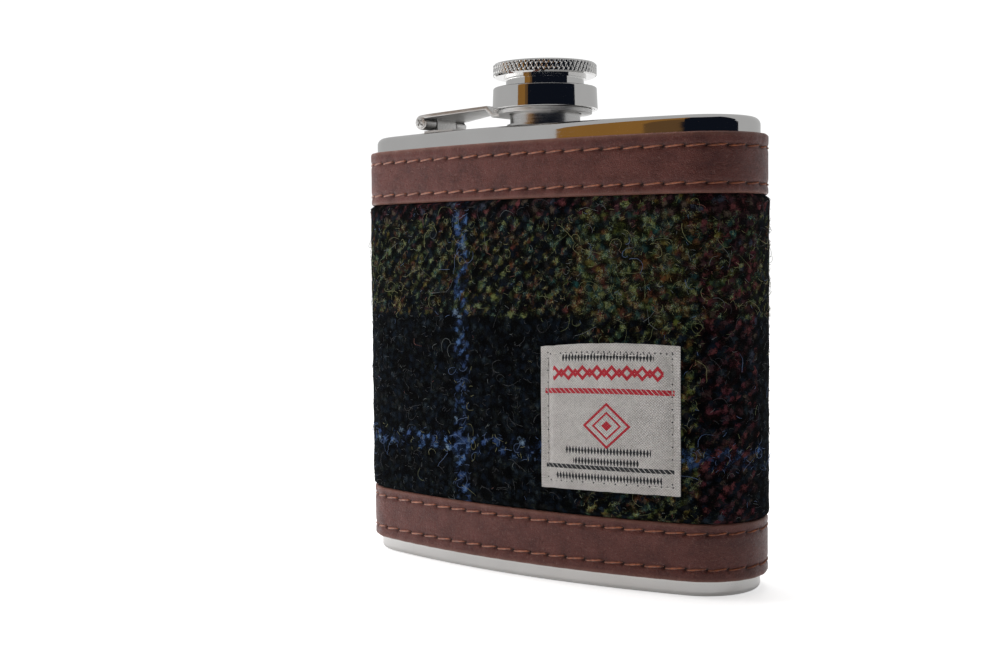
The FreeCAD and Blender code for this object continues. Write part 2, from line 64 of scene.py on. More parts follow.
def wrap(along, proud, height, cut=0.0):
    # along is counted on the outline that stands cut out from the steel, from the front's middle
    front = (bend + halfDepth + cut) * bendAngle
    end = (halfDepth + cut) * math.pi
    total = girth(cut)
    along = (along + total / 2) % total - total / 2
    side = 1 if along >= 0 else -1
    run = abs(along)
    if run <= front:
        turn = run / (bend + halfDepth + cut)
        x, y = (bend + halfDepth) * math.sin(turn), bend - (bend + halfDepth) * math.cos(turn)
    elif run <= front + end:
        turn = bendAngle + (run - front) / (halfDepth + cut)
        x, y = endX + halfDepth * math.sin(turn), endY - halfDepth * math.cos(turn)
    else:
        inner = bendAngle - (run - front - end) / (bend - halfDepth - cut)
        turn = inner + math.pi
        x, y = (bend - halfDepth) * math.sin(inner), bend - (bend - halfDepth) * math.cos(inner)
    out = Vector((math.sin(turn), -math.cos(turn), 0))
    return Vector((side * (x + out.x * proud), y + out.y * proud, height))


# objects and meshes
def intoScene(name, data):
    made = bpy.data.objects.new(name, data)
    bpy.context.scene.collection.objects.link(made)
    return made


def meshFrom(bm, name):
    mesh = bpy.data.meshes.new(name)
    bm.to_mesh(mesh)
    bm.free()
    return mesh


def toObject(bm, name, body, material, smoothAngle=None):
    for face in bm.faces:
        face.smooth = True
    mesh = meshFrom(bm, name)
    if smoothAngle:
        mesh.set_sharp_from_angle(angle=math.radians(smoothAngle))
    mesh.materials.append(material)
    piece = intoScene(name, mesh)
    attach(piece, body)
    return piece


# material nodes
def add(tree, kind, inputs=(), out=0, **settings):
    made = tree.nodes.new(kind)
    for key, value in settings.items():
        setattr(made, key, value)
    for slot, value in (inputs.items() if isinstance(inputs, dict) else enumerate(inputs)):
        if isinstance(value, bpy.types.NodeSocket):
            tree.links.new(value, made.inputs[slot])
        else:
            made.inputs[slot].default_value = value
    return made.outputs[out]


def join(kind, inputs, out=0, **settings):
    # the node goes into the tree of the sockets it takes
    values = inputs.values() if isinstance(inputs, dict) else inputs
    tree = next(value.id_data for value in values if isinstance(value, bpy.types.NodeSocket))
    return add(tree, kind, inputs, out, **settings)


def calc(operation, *values):
    return join("ShaderNodeMath", values, operation=operation)


def times(first, second):
    return calc("MULTIPLY", first, second)


def plus(first, second):
    return calc("ADD", first, second)


def minus(first, second):
    return calc("SUBTRACT", first, second)


def apart(first, second):
    return calc("ABSOLUTE", minus(first, second))


def scaled(vector, share):
    return join("ShaderNodeVectorMath", {0: vector, 3: share}, operation="SCALE")


def split(value, kind="ShaderNodeSeparateXYZ"):
    return list(join(kind, (value,)).node.outputs)


def ramp(value, stops, interpolation="LINEAR"):
    tree = value.id_data
    made = tree.nodes.new("ShaderNodeValToRGB")
    made.color_ramp.interpolation = interpolation
    while len(made.color_ramp.elements) < len(stops):
        made.color_ramp.elements.new(0.5)
    for element, (place, colour) in zip(made.color_ramp.elements, stops):
        element.position = place
        element.color = (*colour, 1)
    tree.links.new(value, made.inputs[0])
    return made.outputs[0]


def mixValue(factor, first, second):
    return join("ShaderNodeMix", {0: factor, 2: first, 3: second}, data_type="FLOAT")


def blendColour(factor, first, second):
    first, second = ((*value, 1) if isinstance(value, tuple) else value for value in (first, second))
    return join("ShaderNodeMix", {0: factor, 6: first, 7: second}, out=2, data_type="RGBA")


def tinted(colour, share):
    return tuple(part * share for part in colour)


def fitRange(value, low, high, toLow=0.0, toHigh=1.0, smooth=True):
    kind = "SMOOTHSTEP" if smooth else "LINEAR"
    return join("ShaderNodeMapRange", (value, low, high, toLow, toHigh), interpolation_type=kind)


def grain(where, scale, detail=2.0, rough=0.5, out=0, distortion=0.0):
    return join("ShaderNodeTexNoise", {"Vector": where, "Scale": scale, "Detail": detail,
                                       "Roughness": rough, "Distortion": distortion}, out)


def objectPlace(tree):
    return add(tree, "ShaderNodeTexCoord", out=3)


def clothPlace(tree):
    return add(tree, "ShaderNodeUVMap", uv_map="clothPlace")


def newMaterial(name, **sockets):
    made = bpy.data.materials.new(name)
    made.use_nodes = True
    shader = made.node_tree.nodes["Principled BSDF"]
    for key, value in sockets.items():
        shader.inputs[key.replace("_", " ")].default_value = value
    return made, made.node_tree


def finish(made, colour, height=None, strength=0.0, distance=0.0, rough=None):
    tree = made.node_tree
    shader = tree.nodes["Principled BSDF"]
    tree.links.new(colour, shader.inputs["Base Color"])
    if rough:
        tree.links.new(rough, shader.inputs["Roughness"])
    if height:
        relief = {"Strength": strength, "Distance": distance, "Height": height}
        tree.links.new(join("ShaderNodeBump", relief), shader.inputs["Normal"])
    return made


# camera, floor and light
cameraSpec = {
    "place": (0.17344, -0.24788, 0.06635),
    "yaw": 36.86, "pitch": -3.09, "roll": -0.50,   # degrees
    "lens": 51.24, "sensor": 36.0,                  # mm
}


def makeCamera(spec):
    yaw, pitch, roll = (math.radians(spec[key]) for key in ("yaw", "pitch", "roll"))
    ahead = Vector((-math.sin(yaw) * math.cos(pitch), math.cos(yaw) * math.cos(pitch), math.sin(pitch)))
    level = Vector((math.cos(yaw), math.sin(yaw), 0))
    upward = level.cross(ahead)
    right = math.cos(roll) * level + math.sin(roll) * upward
    top = math.cos(roll) * upward - math.sin(roll) * level
    data = bpy.data.cameras.new("viewCamera")
    data.lens = spec["lens"]
    data.sensor_width = spec["sensor"]
    data.clip_start = 0.01
    camera = intoScene("viewCamera", data)
    camera.matrix_world = Matrix((
        (right.x, top.x, -ahead.x, spec["place"][0]),
        (right.y, top.y, -ahead.y, spec["place"][1]),
        (right.z, top.z, -ahead.z, spec["place"][2]),
        (0, 0, 0, 1)))
    bpy.context.scene.camera = camera


studioSpec = {
    "floorSize": 6.0, "floorColour": (0.85, 0.85, 0.85), "floorGlow": 0.62, "floorSpill": 0.18,
    "backdrop": 1.05, "roomLight": 0.55,
    "cardRadius": 0.62, "cardLow": 0.012, "cardHigh": 1.5, "cardSteps": 24,
    "cards": {       # from and to a heading, in degrees from -Y to +X, and the colour
        "woodCard": (-26.5, -9.0, (0.30, 0.145, 0.035)),
        "oakCard": (-9.0, -3.0, (0.14, 0.075, 0.03)),
        "darkCard": (-3.0, 103.0, (0.006, 0.008, 0.014)),
    },
    "lightSide": 0.8,
    "lights": {      # place, aim and watts
        "overheadBox": ((-0.30, 0.30, 0.95), (0, 0, 0.03), 5.0),
        "leftBox": ((-1.0, -0.25, 0.5), (0, 0, 0.05), 11.5),
    },
}


def glowMaterial(name, colour):
    made = bpy.data.materials.new(name)
    made.use_nodes = True
    tree = made.node_tree
    tree.nodes.clear()
    glow = add(tree, "ShaderNodeEmission", {"Color": (*colour, 1), "Strength": 1.0})
    tree.links.new(glow, tree.nodes.new("ShaderNodeOutputMaterial").inputs["Surface"])
    return made


def makeStage(spec):
    bm = bmesh.new()
    bmesh.ops.create_grid(bm, x_segments=1, y_segments=1, size=spec["floorSize"] / 2)
    floor = intoScene("floor", meshFrom(bm, "floor"))
    material, tree = newMaterial("paleFloor", Roughness=0.6, Base_Color=(*spec["floorColour"], 1),
                                 Emission_Color=(1, 1, 1, 1))
    seen = add(tree, "ShaderNodeLightPath")      # a lit white table that throws little light back
    tree.links.new(fitRange(seen, 0.0, 1.0, spec["floorSpill"], spec["floorGlow"], False),
                   tree.nodes["Principled BSDF"].inputs["Emission Strength"])
    floor.data.materials.append(material)
    for name, (start, stop, colour) in spec["cards"].items():
        bm = bmesh.new()
        first = math.radians(start)
        foot = bm.verts.new((spec["cardRadius"] * math.sin(first), -spec["cardRadius"] * math.cos(first),
                             spec["cardLow"]))
        head = bm.verts.new(foot.co + Vector((0, 0, spec["cardHigh"])))
        edge = bm.edges.new((foot, head))
        bmesh.ops.spin(bm, geom=[foot, head, edge], angle=math.radians(stop - start), steps=spec["cardSteps"],
                       axis=(0, 0, 1), cent=(0, 0, 0))
        card = intoScene(name, meshFrom(bm, name))
        card.data.materials.append(glowMaterial(name, colour))
        card.visible_camera = False
        card.visible_shadow = False


def makeStudio(spec):
    world = bpy.data.worlds.new("studio")
    world.use_nodes = True
    tree = world.node_tree
    sky = tree.nodes["Background"]
    sky.inputs["Color"].default_value = (1, 1, 1, 1)
    seen = add(tree, "ShaderNodeLightPath")      # the backdrop is white, the room round it softer
    tree.links.new(fitRange(seen, 0.0, 1.0, spec["roomLight"], spec["backdrop"], False),
                   sky.inputs["Strength"])
    bpy.context.scene.world = world
    bpy.context.scene.view_settings.view_transform = "Standard"
    makeStage(spec)
    for name, (place, aim, power) in spec["lights"].items():
        data = bpy.data.lights.new(name, "AREA")
        data.shape = "SQUARE"
        data.size = spec["lightSide"]
        data.energy = power
        light = intoScene(name, data)
        light.location = place
        light.rotation_euler = (Vector(aim) - Vector(place)).to_track_quat("-Z", "Y").to_euler()
        light.visible_glossy = False


makeCamera(cameraSpec)
makeStudio(studioSpec)
print("camera and studio done")

# the steel's three finishes: mirror, turned and rubbed
steelSpec = {
    "colour": (0.66, 0.655, 0.645), "rough": 0.045, "turnedRough": 0.16, "satinRough": 0.40,
    "worn": 0.10, "turnedSpread": 0.14, "satinSpread": 0.12,      # how far the roughness rises
}


def brushed(tree, stretch, scale, detail, rough):
    where = add(tree, "ShaderNodeMapping", {"Vector": objectPlace(tree), "Scale": stretch})
    return grain(where, scale, detail, rough)


def polishedSteel(spec):
    made, tree = newMaterial("polishedSteel", Metallic=1.0)
    where = objectPlace(tree)
    cloudy = grain(where, 90.0, 3.0)
    tone = ramp(cloudy, [(0.3, tinted(spec["colour"], 0.93)), (0.7, spec["colour"])])
    scuffs = brushed(tree, (1.0, 1.0, 14.0), 420.0, 4.0, 0.7)
    wear = plus(fitRange(scuffs, 0.52, 0.78, 0.0, spec["worn"]), spec["rough"])
    return finish(made, tone, grain(where, 60.0, 1.0), 0.12, 0.00035, wear)


def turnedSteel(spec):
    made, tree = newMaterial("turnedSteel", Metallic=1.0, Anisotropic=0.5)
    lines = brushed(tree, (0.6, 0.6, 40.0), 260.0, 3.0, 0.6)
    tone = ramp(lines, [(0.25, tinted(spec["colour"], 0.8)), (0.75, spec["colour"])])
    rough = spec["turnedRough"]
    rough = fitRange(lines, 0.2, 0.8, rough, rough + spec["turnedSpread"], False)
    return finish(made, tone, lines, 0.15, 0.00004, rough)


def satinSteel(spec):
    made, tree = newMaterial("satinSteel", Metallic=1.0)
    rub = brushed(tree, (0.4, 3.0, 3.0), 700.0, 4.0, 0.65)
    tone = ramp(rub, [(0.3, tinted(spec["colour"], 0.95)), (0.7, tinted(spec["colour"], 1.28))])
    rough = spec["satinRough"]
    rough = fitRange(rub, 0.3, 0.7, rough, rough + spec["satinSpread"])
    return finish(made, tone, rub, 0.2, 0.00003, rough)


polished = polishedSteel(steelSpec)
turned = turnedSteel(steelSpec)
satin = satinSteel(steelSpec)
for nodeName, steel in (("body_shell", polished), ("base_plate", polished), ("shoulder_plate", polished),
                        ("hinge_bracket", satin)):
    nodes[nodeName].data.materials.clear()
    nodes[nodeName].data.materials.append(steel)
print("steel dressed")


def holdCorners(bm, support=0.1 * mm):
    # a point close to both ends of each long run keeps its shading flat up to the corner
    for edge in bm.edges[:]:
        first, second = edge.verts
        long = edge.calc_length()
        if long > 4 * support:
            near = bmesh.utils.edge_split(edge, first, support / long)[1]
            rest = next(link for link in near.link_edges if link.other_vert(near) is second)
            bmesh.utils.edge_split(rest, second, support / (long - support))


def turnedProfile(points, steps, soft=None):
    # points are (radius, height); inner corners get a small radius before the profile is spun
    bm = bmesh.new()
    verts = [bm.verts.new((radius, 0, height)) for radius, height in points]
    for first, second in zip(verts, verts[1:]):
        bm.edges.new((first, second))
    if soft:
        bmesh.ops.bevel(bm, geom=verts[1:-1], offset=soft, segments=2, profile=0.5, affect="VERTICES",
                        material=-1)
    holdCorners(bm)
    bmesh.ops.spin(bm, geom=bm.verts[:] + bm.edges[:], angle=2 * math.pi, steps=steps, axis=(0, 0, 1),
                   cent=(0, 0, 0), use_merge=True)
    bmesh.ops.remove_doubles(bm, verts=bm.verts, dist=hair)
    bmesh.ops.recalc_face_normals(bm, faces=bm.faces)
    return bm


knobSpec = {
    "diamonds": 64, "perDiamond": 8, "rows": 12, "knurlDeep": 0.16 * mm, "grooveShare": 0.26,
    "edgeBevel": 0.34 * mm, "crown": 0.12 * mm, "crownFrom": 0.8, "crownTo": 0.74,
    "headTall": 2.75 * mm, "waist": 8.2 * mm, "step": 8.7 * mm, "stepTall": 0.55 * mm,
}


def makeKnob(spec):
    low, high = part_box("cap_knob")
    radius = high.x
    under = high.z - spec["headTall"]
    stepFoot = under - spec["stepTall"]
    bevel, crown, rows = spec["edgeBevel"], spec["crown"], spec["rows"]
    faceLow, faceHigh = under + bevel, high.z - bevel
    points = [(0, low.z), (spec["waist"], low.z), (spec["waist"], stepFoot), (spec["step"], stepFoot),
              (spec["step"], under), (radius - bevel, under)]
    points += [(radius, faceLow + (faceHigh - faceLow) * row / rows) for row in range(rows + 1)]
    points += [(radius - bevel, high.z), (radius * spec["crownFrom"], high.z - crown * 0.2),
               (radius * spec["crownTo"], high.z - crown), (0, high.z - crown)]
    bm = turnedProfile(points, spec["diamonds"] * spec["perDiamond"])
    for vert in bm.verts:
        reach = math.hypot(vert.co.x, vert.co.y)
        if faceLow - hair < vert.co.z < faceHigh + hair and reach > radius - hair:
            around = math.atan2(vert.co.y, vert.co.x) / (2 * math.pi) * spec["diamonds"]
            up = (vert.co.z - faceLow) / (faceHigh - faceLow)
            groove = 0.5 - max(abs((around + up) % 1 - 0.5), abs((around - up) % 1 - 0.5))
            sunk = max(0.0, 1 - 2 * groove / spec["grooveShare"])
            vert.co.xy *= 1 - spec["knurlDeep"] * sunk / radius
    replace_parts(toObject(bm, "knurled_knob", "cap", polished, 24), "cap_knob")


turnedSpec = {       # heights over the shoulder, except the neck's lip
    "steps": 128, "pitch": 1.5 * mm, "threadDeep": 0.35 * mm, "rowTall": 0.1 * mm, "soft": 0.08 * mm,
    "flankFoot": 0.22, "crestTop": 0.36, "ridgeTop": 0.58,   # shares of the pitch
    "threadFade": 0.5 * mm, "neckThread": (1.9 * mm, 5.77 * mm), "bushThread": (1.2 * mm, 5.82 * mm),
    "bore": 5.3 * mm, "neckRadius": 6.0 * mm, "lip": 0.15 * mm, "flangeTall": 0.8 * mm, "neckFoot": 0.3 * mm,
    "cupNarrow": 10.9 * mm, "cupEdge": 0.2 * mm, "cupRoof": 7.8 * mm, "cupInner": (10.42 * mm, 10.32 * mm),
    "bushRoot": 6.97 * mm, "bushWall": 7.4 * mm, "bushRoof": 7.1 * mm,
    "flare": 8.1 * mm, "flareTall": 0.4 * mm, "collarFoot": 3.8 * mm, "collarTop": 4.4 * mm,
}


def threadHeight(phase, spec):
    if phase < spec["flankFoot"]:
        return phase / spec["flankFoot"]
    if phase < spec["crestTop"]:
        return 1.0
    return max(0.0, 1 - (phase - spec["crestTop"]) / (spec["ridgeTop"] - spec["crestTop"]))


def windThread(bm, radius, limits, sign, spec):
    # rows of the plain wall are pushed out (or in) where the helix passes
    start, stop = (shoulder + limit for limit in limits)
    for vert in bm.verts:
        if abs(math.hypot(vert.co.x, vert.co.y) - radius) < hair and start < vert.co.z < stop:
            turn = math.atan2(vert.co.y, vert.co.x) / (2 * math.pi)
            phase = ((vert.co.z - start) / spec["pitch"] - turn) % 1
            ends = min(1.0, (vert.co.z - start) / spec["threadFade"], (stop - vert.co.z) / spec["threadFade"])
            vert.co.xy *= 1 + sign * spec["threadDeep"] * threadHeight(phase, spec) * ends / radius


def wallRows(radius, low, high, spec):
    count = round(abs(high - low) / spec["rowTall"])
    return [(radius, low + (high - low) * row / count) for row in range(count + 1)]


def makeTurned(spec):
    low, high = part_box("neck")
    bore, outside, lip = spec["bore"], spec["neckRadius"], spec["lip"]
    foot, flangeTop = shoulder + spec["neckFoot"], low.z + spec["flangeTall"]
    points = wallRows(outside, foot, high.z - 2 * lip, spec) + [
        (outside - lip, high.z), (bore + lip, high.z), (bore, high.z - lip), (bore, low.z), (high.x, low.z),
        (high.x, flangeTop), (outside, flangeTop), (outside, foot)]
    bm = turnedProfile(points, spec["steps"])
    windThread(bm, outside, spec["neckThread"], 1, spec)
    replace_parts(toObject(bm, "threaded_neck", "flask", turned, 32), "neck")

    low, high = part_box("cap_collar")
    narrow, edge, roof = spec["cupNarrow"], spec["cupEdge"], shoulder + spec["cupRoof"]
    mouth, innerTop = spec["cupInner"]
    points = [(0, roof), (innerTop, roof), (mouth, low.z), (high.x, low.z), (narrow, high.z - edge),
              (narrow - edge, high.z), (0, high.z)]
    bm = turnedProfile(points, spec["steps"], spec["soft"])
    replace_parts(toObject(bm, "collar_cup", "cap", polished, 40), "cap_collar")

    low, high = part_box("cap_bush")
    root, wall, roof = spec["bushRoot"], spec["bushWall"], shoulder + spec["bushRoof"]
    flareTop = low.z + spec["flareTall"]
    collarFoot, collarTop = shoulder + spec["collarFoot"], shoulder + spec["collarTop"]
    points = [(0, roof)] + wallRows(root, roof, low.z, spec) + [
        (spec["flare"], low.z), (spec["flare"], flareTop), (wall, flareTop), (wall, collarFoot),
        (high.x, collarFoot), (high.x, collarTop), (wall, collarTop), (wall, high.z), (0, high.z)]
    bm = turnedProfile(points, spec["steps"])
    windThread(bm, root, spec["bushThread"], -1, spec)
    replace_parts(toObject(bm, "threaded_bush", "cap", turned, 32), "cap_bush")


makeKnob(knobSpec)
makeTurned(turnedSpec)
print("knob, collar, bush and neck done")

# the cap's arm is one strip: curled round the pin, cranked down and opened into a ring
armSpec = {
    "thick": 0.85 * mm, "crestRise": 5.45 * mm, "crestReach": 13.4 * mm, "footReach": 11.7 * mm,
    "joinReach": 9.2 * mm, "ringRise": 2.9 * mm, "ringOuter": 9.9 * mm, "ringHole": 7.6 * mm, "ringSteps": 96,
    "hingeWidth": 14.2 * mm, "endWidth": 7.0 * mm, "taperFrom": 2.0 * mm,
    "curlRadius": 1.6 * mm, "curlStart": -280, "curlStep": 14,      # degrees
    "pinClear": 0.88 * mm, "knuckle": 3.8 * mm, "edge": 0.16 * mm, "sharpFrom": 50,
    "columns": 12, "rowLong": 1.1 * mm, "ringProud": 0.01 * mm,
}


def makeArm(spec):
    low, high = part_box("hinge_pin")
    pinX, pinY, pinZ = (low + high) / 2
    thick, wide, curl = spec["thick"], spec["hingeWidth"], spec["curlRadius"]
    ringFoot = shoulder + spec["ringRise"]
    bm = bmesh.new()
    # the strip's top line: from the curl over the pin to the crest, down the crank and onto the ring
    line = [(pinX + curl * math.sin(math.radians(turn)), pinZ + curl * math.cos(math.radians(turn)))
            for turn in range(spec["curlStart"], 1, spec["curlStep"])]
    bare = len(line) - 1
    run = [(pinX, pinZ + curl), (-spec["crestReach"], shoulder + spec["crestRise"]),
           (-spec["footReach"], ringFoot + thick), (-spec["joinReach"], ringFoot + thick)]
    for first, second in zip(run, run[1:]):
        count = max(2, round(math.dist(first, second) / spec["rowLong"]))
        line += [tuple(start + (stop - start) * i / count for start, stop in zip(first, second))
                 for i in range(1, count + 1)]

    def halfWidth(x):
        start = pinX + spec["taperFrom"]
        share = min(1.0, max(0.0, (x - start) / (-spec["crestReach"] - start)))
        return (wide + (spec["endWidth"] - wide) * share) / 2

    columns = spec["columns"]
    rows = [[bm.verts.new((x, pinY + halfWidth(x) * (2 * i / columns - 1), z)) for i in range(columns + 1)]
            for x, z in line]
    gap = wide / 2 - spec["knuckle"]
    for index, (first, second) in enumerate(zip(rows, rows[1:])):
        for i in range(columns):
            middle = (first[i].co.y + first[i + 1].co.y) / 2 - pinY
            if index >= bare or abs(middle) >= gap:      # the bracket's knuckle fills the middle
                bm.faces.new((first[i], second[i], second[i + 1], first[i + 1]))
    bmesh.ops.delete(bm, geom=[vert for vert in bm.verts if not vert.link_faces], context="VERTS")
    for vert in bm.verts:      # the last row follows the ring's rim
        if vert.co.x > -spec["joinReach"] - hair:
            vert.co.x = -math.sqrt(max(0.0, spec["joinReach"] ** 2 - vert.co.y ** 2))
    bmesh.ops.solidify(bm, geom=bm.faces[:], thickness=thick)
    for vert in bm.verts:      # the curl stays clear of the pin
        reach = math.hypot(vert.co.x - pinX, vert.co.z - pinZ)
        if reach < spec["pinClear"]:
            vert.co.x = pinX + (vert.co.x - pinX) * spec["pinClear"] / reach
            vert.co.z = pinZ + (vert.co.z - pinZ) * spec["pinClear"] / reach
    under, over = -spec["ringProud"], thick + spec["ringProud"]      # a touch thicker than the strip
    hole, rim = spec["ringHole"], spec["ringOuter"]
    ring = turnedProfile([(hole, under), (rim, under), (rim, over), (hole, over), (hole, under)],
                         spec["ringSteps"])
    bmesh.ops.translate(ring, verts=ring.verts, vec=(0, 0, ringFoot))
    for made in (bm, ring):
        sharp = [edge for edge in made.edges
                 if len(edge.link_faces) == 2 and edge.calc_face_angle(0) > math.radians(spec["sharpFrom"])]
        bmesh.ops.bevel(made, geom=sharp, offset=spec["edge"], segments=2, profile=0.5, affect="EDGES",
                        material=-1, clamp_overlap=True)
        bmesh.ops.recalc_face_normals(made, faces=made.faces)
    mesh = meshFrom(ring, "ringPart")
    bm.from_mesh(mesh)
    bpy.data.meshes.remove(mesh)
    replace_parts(toObject(bm, "pressed_arm", "arm", satin, 35), "cap_arm")


makeArm(armSpec)
print("cap arm done")

# the hinge pin's ends are staked with a cross
pinSpec = {
    "sides": 24, "shank": 0.85 * mm, "headRadius": 1.15 * mm, "headTall": 0.12 * mm, "dome": 0.16 * mm,
    "slotWide": 0.2 * mm, "slotDeep": 0.34 * mm,
}


def makePin(spec):
    low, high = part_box("hinge_pin")
    half = (high.y - low.y) / 2
    shank, head, dome = spec["shank"], spec["headRadius"], spec["dome"]
    neck = half - spec["headTall"]
    bm = turnedProfile([(0, -half - dome), (head * 0.55, -half - dome * 0.8), (head, -half), (head, -neck),
                        (shank, -neck), (shank, neck), (head, neck), (head, half),
                        (head * 0.55, half + dome * 0.8), (0, half + dome)], spec["sides"])
    ends = [edge for edge in bm.edges if min(abs(vert.co.z) for vert in edge.verts) > half - hair]
    bmesh.ops.subdivide_edges(bm, edges=ends, cuts=3, use_grid_fill=True)
    for vert in bm.verts:
        if abs(vert.co.z) > half - hair:
            cross = min(abs(vert.co.x - vert.co.y), abs(vert.co.x + vert.co.y)) / math.sqrt(2)
            if cross < spec["slotWide"] and math.hypot(vert.co.x, vert.co.y) < head * 0.8:
                vert.co.z -= math.copysign(spec["slotDeep"], vert.co.z)
    turn = Matrix.Translation((low + high) / 2) @ Matrix.Rotation(math.pi / 2, 4, "X")
    bmesh.ops.transform(bm, verts=bm.verts, matrix=turn)
    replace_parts(toObject(bm, "staked_hinge_pin", "flask", satin, 30), "hinge_pin")


makePin(pinSpec)
print("hinge pin done")

sealSpec = {"steps": 64, "soft": 0.2 * mm, "rimFrom": 0.55, "rimTo": 0.62}      # shares of the radius


def sealRubber():
    made, tree = newMaterial("paleRubber", Roughness=0.55, Specular_IOR_Level=0.4)
    where = objectPlace(tree)
    tone = ramp(grain(where, 500.0, 4.0), [(0.3, (0.62, 0.6, 0.54)), (0.7, (0.74, 0.72, 0.66))])
    return finish(made, tone, grain(where, 2500.0), 0.2, 0.00002)


def makeSeal(spec):
    low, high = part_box("seal_washer")
    top = low.z + spec["soft"]
    bm = turnedProfile([(0, top), (high.x * spec["rimFrom"], top), (high.x * spec["rimTo"], low.z),
                        (high.x, low.z), (high.x, high.z), (0, high.z)], spec["steps"], spec["soft"] / 2)
    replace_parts(toObject(bm, "cap_seal", "seal", sealRubber(), 40), "seal_washer")


makeSeal(sealSpec)
print("seal done")


def wrappedSheet(across, up, left, right, low, high, outer, inner, cut):
    # a grid is laid flat, doubled for the inner face and bent round the outline; UVs are in millimetres
    bm = bmesh.new()
    uvLayer = bm.loops.layers.uv.new("clothPlace")
    bmesh.ops.create_grid(bm, x_segments=across, y_segments=up, size=0.5)
    bmesh.ops.reverse_faces(bm, faces=bm.faces)
    front = bm.verts[:]
    copied = bmesh.ops.duplicate(bm, geom=bm.verts[:] + bm.edges[:] + bm.faces[:])
    back = [item for item in copied["geom"] if isinstance(item, bmesh.types.BMVert)]
    backFaces = [item for item in copied["geom"] if isinstance(item, bmesh.types.BMFace)]
    bmesh.ops.reverse_faces(bm, faces=backFaces)
    bmesh.ops.bridge_loops(bm, edges=[edge for edge in bm.edges if edge.is_boundary])
    flat = {vert: (left + (vert.co.x + 0.5) * (right - left), low + (vert.co.y + 0.5) * (high - low))
            for vert in bm.verts}
    for face in bm.faces:
        for loop in face.loops:
            loop[uvLayer].uv = (flat[loop.vert][0] / mm, flat[loop.vert][1] / mm)
    for verts, proud in ((front, outer), (back, inner)):
        for vert in verts:
            along, height = flat[vert]
            vert.co = wrap(along, proud(along, height), height, cut)
    bmesh.ops.recalc_face_normals(bm, faces=bm.faces)
    return bm


tweedSpec = {
    "across": 300, "up": 92, "proud": 1.7 * mm, "tuckProud": 0.7 * mm, "inner": 0.39 * mm, "seam": 0.15 * mm,
    "roll": 0.7 * mm, "rollDeep": 0.08 * mm, "lump": 0.14 * mm, "swell": 0.12 * mm, "swellReach": 2.5 * mm,
    "repeatAlong": 112.3, "repeatUp": 84.0, "twill": 3.3, "crossing": 1.35,
    "wander": 1.6, "furriness": 2.1, "felting": 0.55, "oliveTone": 0.8,
    "oliveAlong": (29.0, 13.0), "oliveUp": (64.3, 10.2),       # a stripe's middle and half width
    "wineAlong": (48.0, 6.5), "wineUp": (77.5, 3.0),
    "blueAlong": (-13.1, 1.9), "blueUp": (27.0, 1.9),
}
woolColours = {      # each dyed yarn is a mixture; a tone starts at its share
    "ground": [(0.0, (0.0020, 0.0032, 0.0056)), (0.4, (0.0032, 0.0060, 0.0112)),
               (0.7, (0.0024, 0.0040, 0.0064)), (0.86, (0.0066, 0.0072, 0.0084)),
               (0.95, (0.009, 0.014, 0.020))],
    "olive": [(0.0, (0.008, 0.009, 0.012)), (0.26, (0.044, 0.056, 0.014)), (0.40, (0.092, 0.106, 0.022)),
              (0.47, (0.100, 0.034, 0.014)), (0.58, (0.020, 0.018, 0.020)), (0.68, (0.012, 0.048, 0.046)),
              (0.79, (0.058, 0.016, 0.022)), (0.88, (0.094, 0.058, 0.016)), (0.96, (0.15, 0.17, 0.060))],
    "wine": [(0.0, (0.022, 0.010, 0.012)), (0.25, (0.052, 0.014, 0.019)), (0.48, (0.032, 0.014, 0.018)),
             (0.66, (0.074, 0.022, 0.024)), (0.80, (0.046, 0.034, 0.026)), (0.93, (0.024, 0.028, 0.042))],
    "blue": [(0.0, (0.006, 0.010, 0.022)), (0.30, (0.018, 0.036, 0.090)), (0.52, (0.044, 0.090, 0.205)),
             (0.76, (0.026, 0.050, 0.130)), (0.93, (0.10, 0.15, 0.22))],
}
tweedLow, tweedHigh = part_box("tweed_sleeve")
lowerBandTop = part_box("bottom_leather_band")[1].z
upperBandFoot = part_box("top_leather_band")[0].z


def stripe(place, limits, repeat, soft=0.4):
    middle, half = limits
    away = calc("WRAP", minus(place, middle), repeat / 2, -repeat / 2)
    return fitRange(calc("ABSOLUTE", away), half - soft, half + soft, 1.0, 0.0)


def jitter(place, scale, detail, reach):
    cloud = grain(place, scale, detail, 0.7, out=1)
    shift = join("ShaderNodeVectorMath", (cloud, (0.5, 0.5, 0.5)), operation="SUBTRACT")
    return join("ShaderNodeVectorMath", (place, scaled(shift, reach)), operation="ADD")


